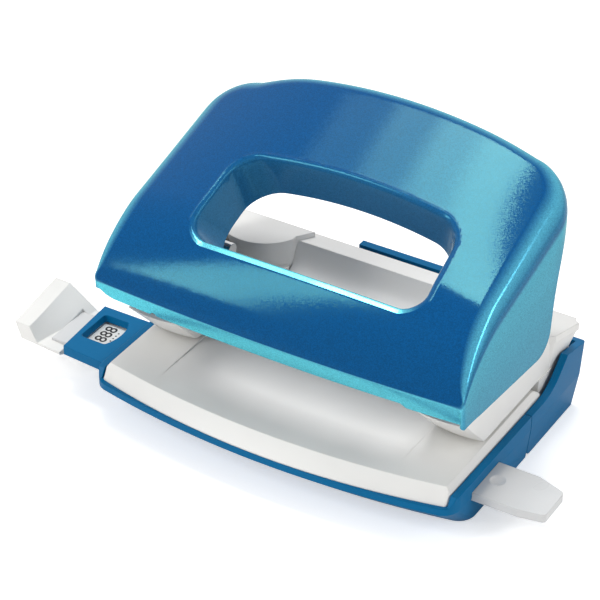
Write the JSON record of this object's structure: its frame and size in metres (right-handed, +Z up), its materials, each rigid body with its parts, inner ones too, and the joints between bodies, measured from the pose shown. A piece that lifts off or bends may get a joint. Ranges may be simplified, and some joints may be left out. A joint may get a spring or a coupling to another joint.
{
  "type": "hole punch",
  "caption": "Small hole punch with a domed lever, sprung punches in two towers, sliding edge guide and a hinged tray for the chips.",
  "frame": {"origin": "on the standing surface, midway between the two punches", "axes": "+X to the user's right along the line through both punches, +Y to the back, +Z up along the punches"},
  "size_m": [0.1584, 0.0794, 0.0796],
  "materials": {
    "blue_paint": "gloss metallic",
    "blue_shell": "satin",
    "white_shell": "satin",
    "pale_plastic": "satin",
    "label": "matt, printed",
    "steel": "zinc plated",
    "bright_steel": "ground",
    "brass": "turned"
  },
  "bodies": {
    "base": {"base_tray": "blue_shell", "hinge_pins": "steel", "paper_table": "white_shell", "rear_housing": "white_shell", "left_tower_cover": "white_shell", "right_tower_cover": "white_shell", "left_frame": "steel", "right_frame": "steel", "frame_screws": "steel", "left_die": "steel", "right_die": "steel", "left_sleeve": "brass", "right_sleeve": "brass", "left_spring": "bright_steel", "right_spring": "bright_steel", "left_axle": "bright_steel", "right_axle": "bright_steel", "axle_clips": "steel"},
    "lever": {"lever": "blue_paint", "left_lever_arm": "steel", "right_lever_arm": "steel", "left_press_stud": "bright_steel", "right_press_stud": "bright_steel"},
    "left_punch": {"left_punch_pin": "bright_steel", "left_spring_washer": "steel", "left_pin_clip": "steel"},
    "right_punch": {"right_punch_pin": "bright_steel", "right_spring_washer": "steel", "right_pin_clip": "steel"},
    "guide": {"guide_bar": "pale_plastic", "index_strip": "label", "guide_stop": "white_shell"},
    "chip_door": {"chip_tray": "blue_shell"}
  },
  "joints": [
    {"name": "lever_hinge", "type": "hinge", "parent": "base", "child": "lever", "pos_m": [0, 0.023, 0.018], "axis": [1, 0, 0], "range_deg": [0, 14], "stiffness_Nm_per_rad": 0.6, "springref_deg": -14.32},
    {"name": "left_punch_slide", "type": "slide", "parent": "base", "child": "left_punch", "axis": [0, 0, -1], "range_m": [0, 0.0057], "deforming": ["left_spring"]},
    {"name": "right_punch_slide", "type": "slide", "parent": "base", "child": "right_punch", "axis": [0, 0, -1], "range_m": [0, 0.0057], "deforming": ["right_spring"]},
    {"name": "guide_slide", "type": "slide", "parent": "base", "child": "guide", "axis": [-1, 0, 0], "range_m": [0, 0.08]},
    {"name": "chip_door_hinge", "type": "hinge", "parent": "base", "child": "chip_door", "pos_m": [0, 0.0045, 0.0022], "axis": [1, 0, 0], "range_deg": [-70, 0]}
  ],
  "couplings": [
    {"joint": "left_punch_slide", "follows": "lever_hinge", "m_per_rad": 0.0229},
    {"joint": "right_punch_slide", "follows": "lever_hinge", "m_per_rad": 0.0229}
  ]
}
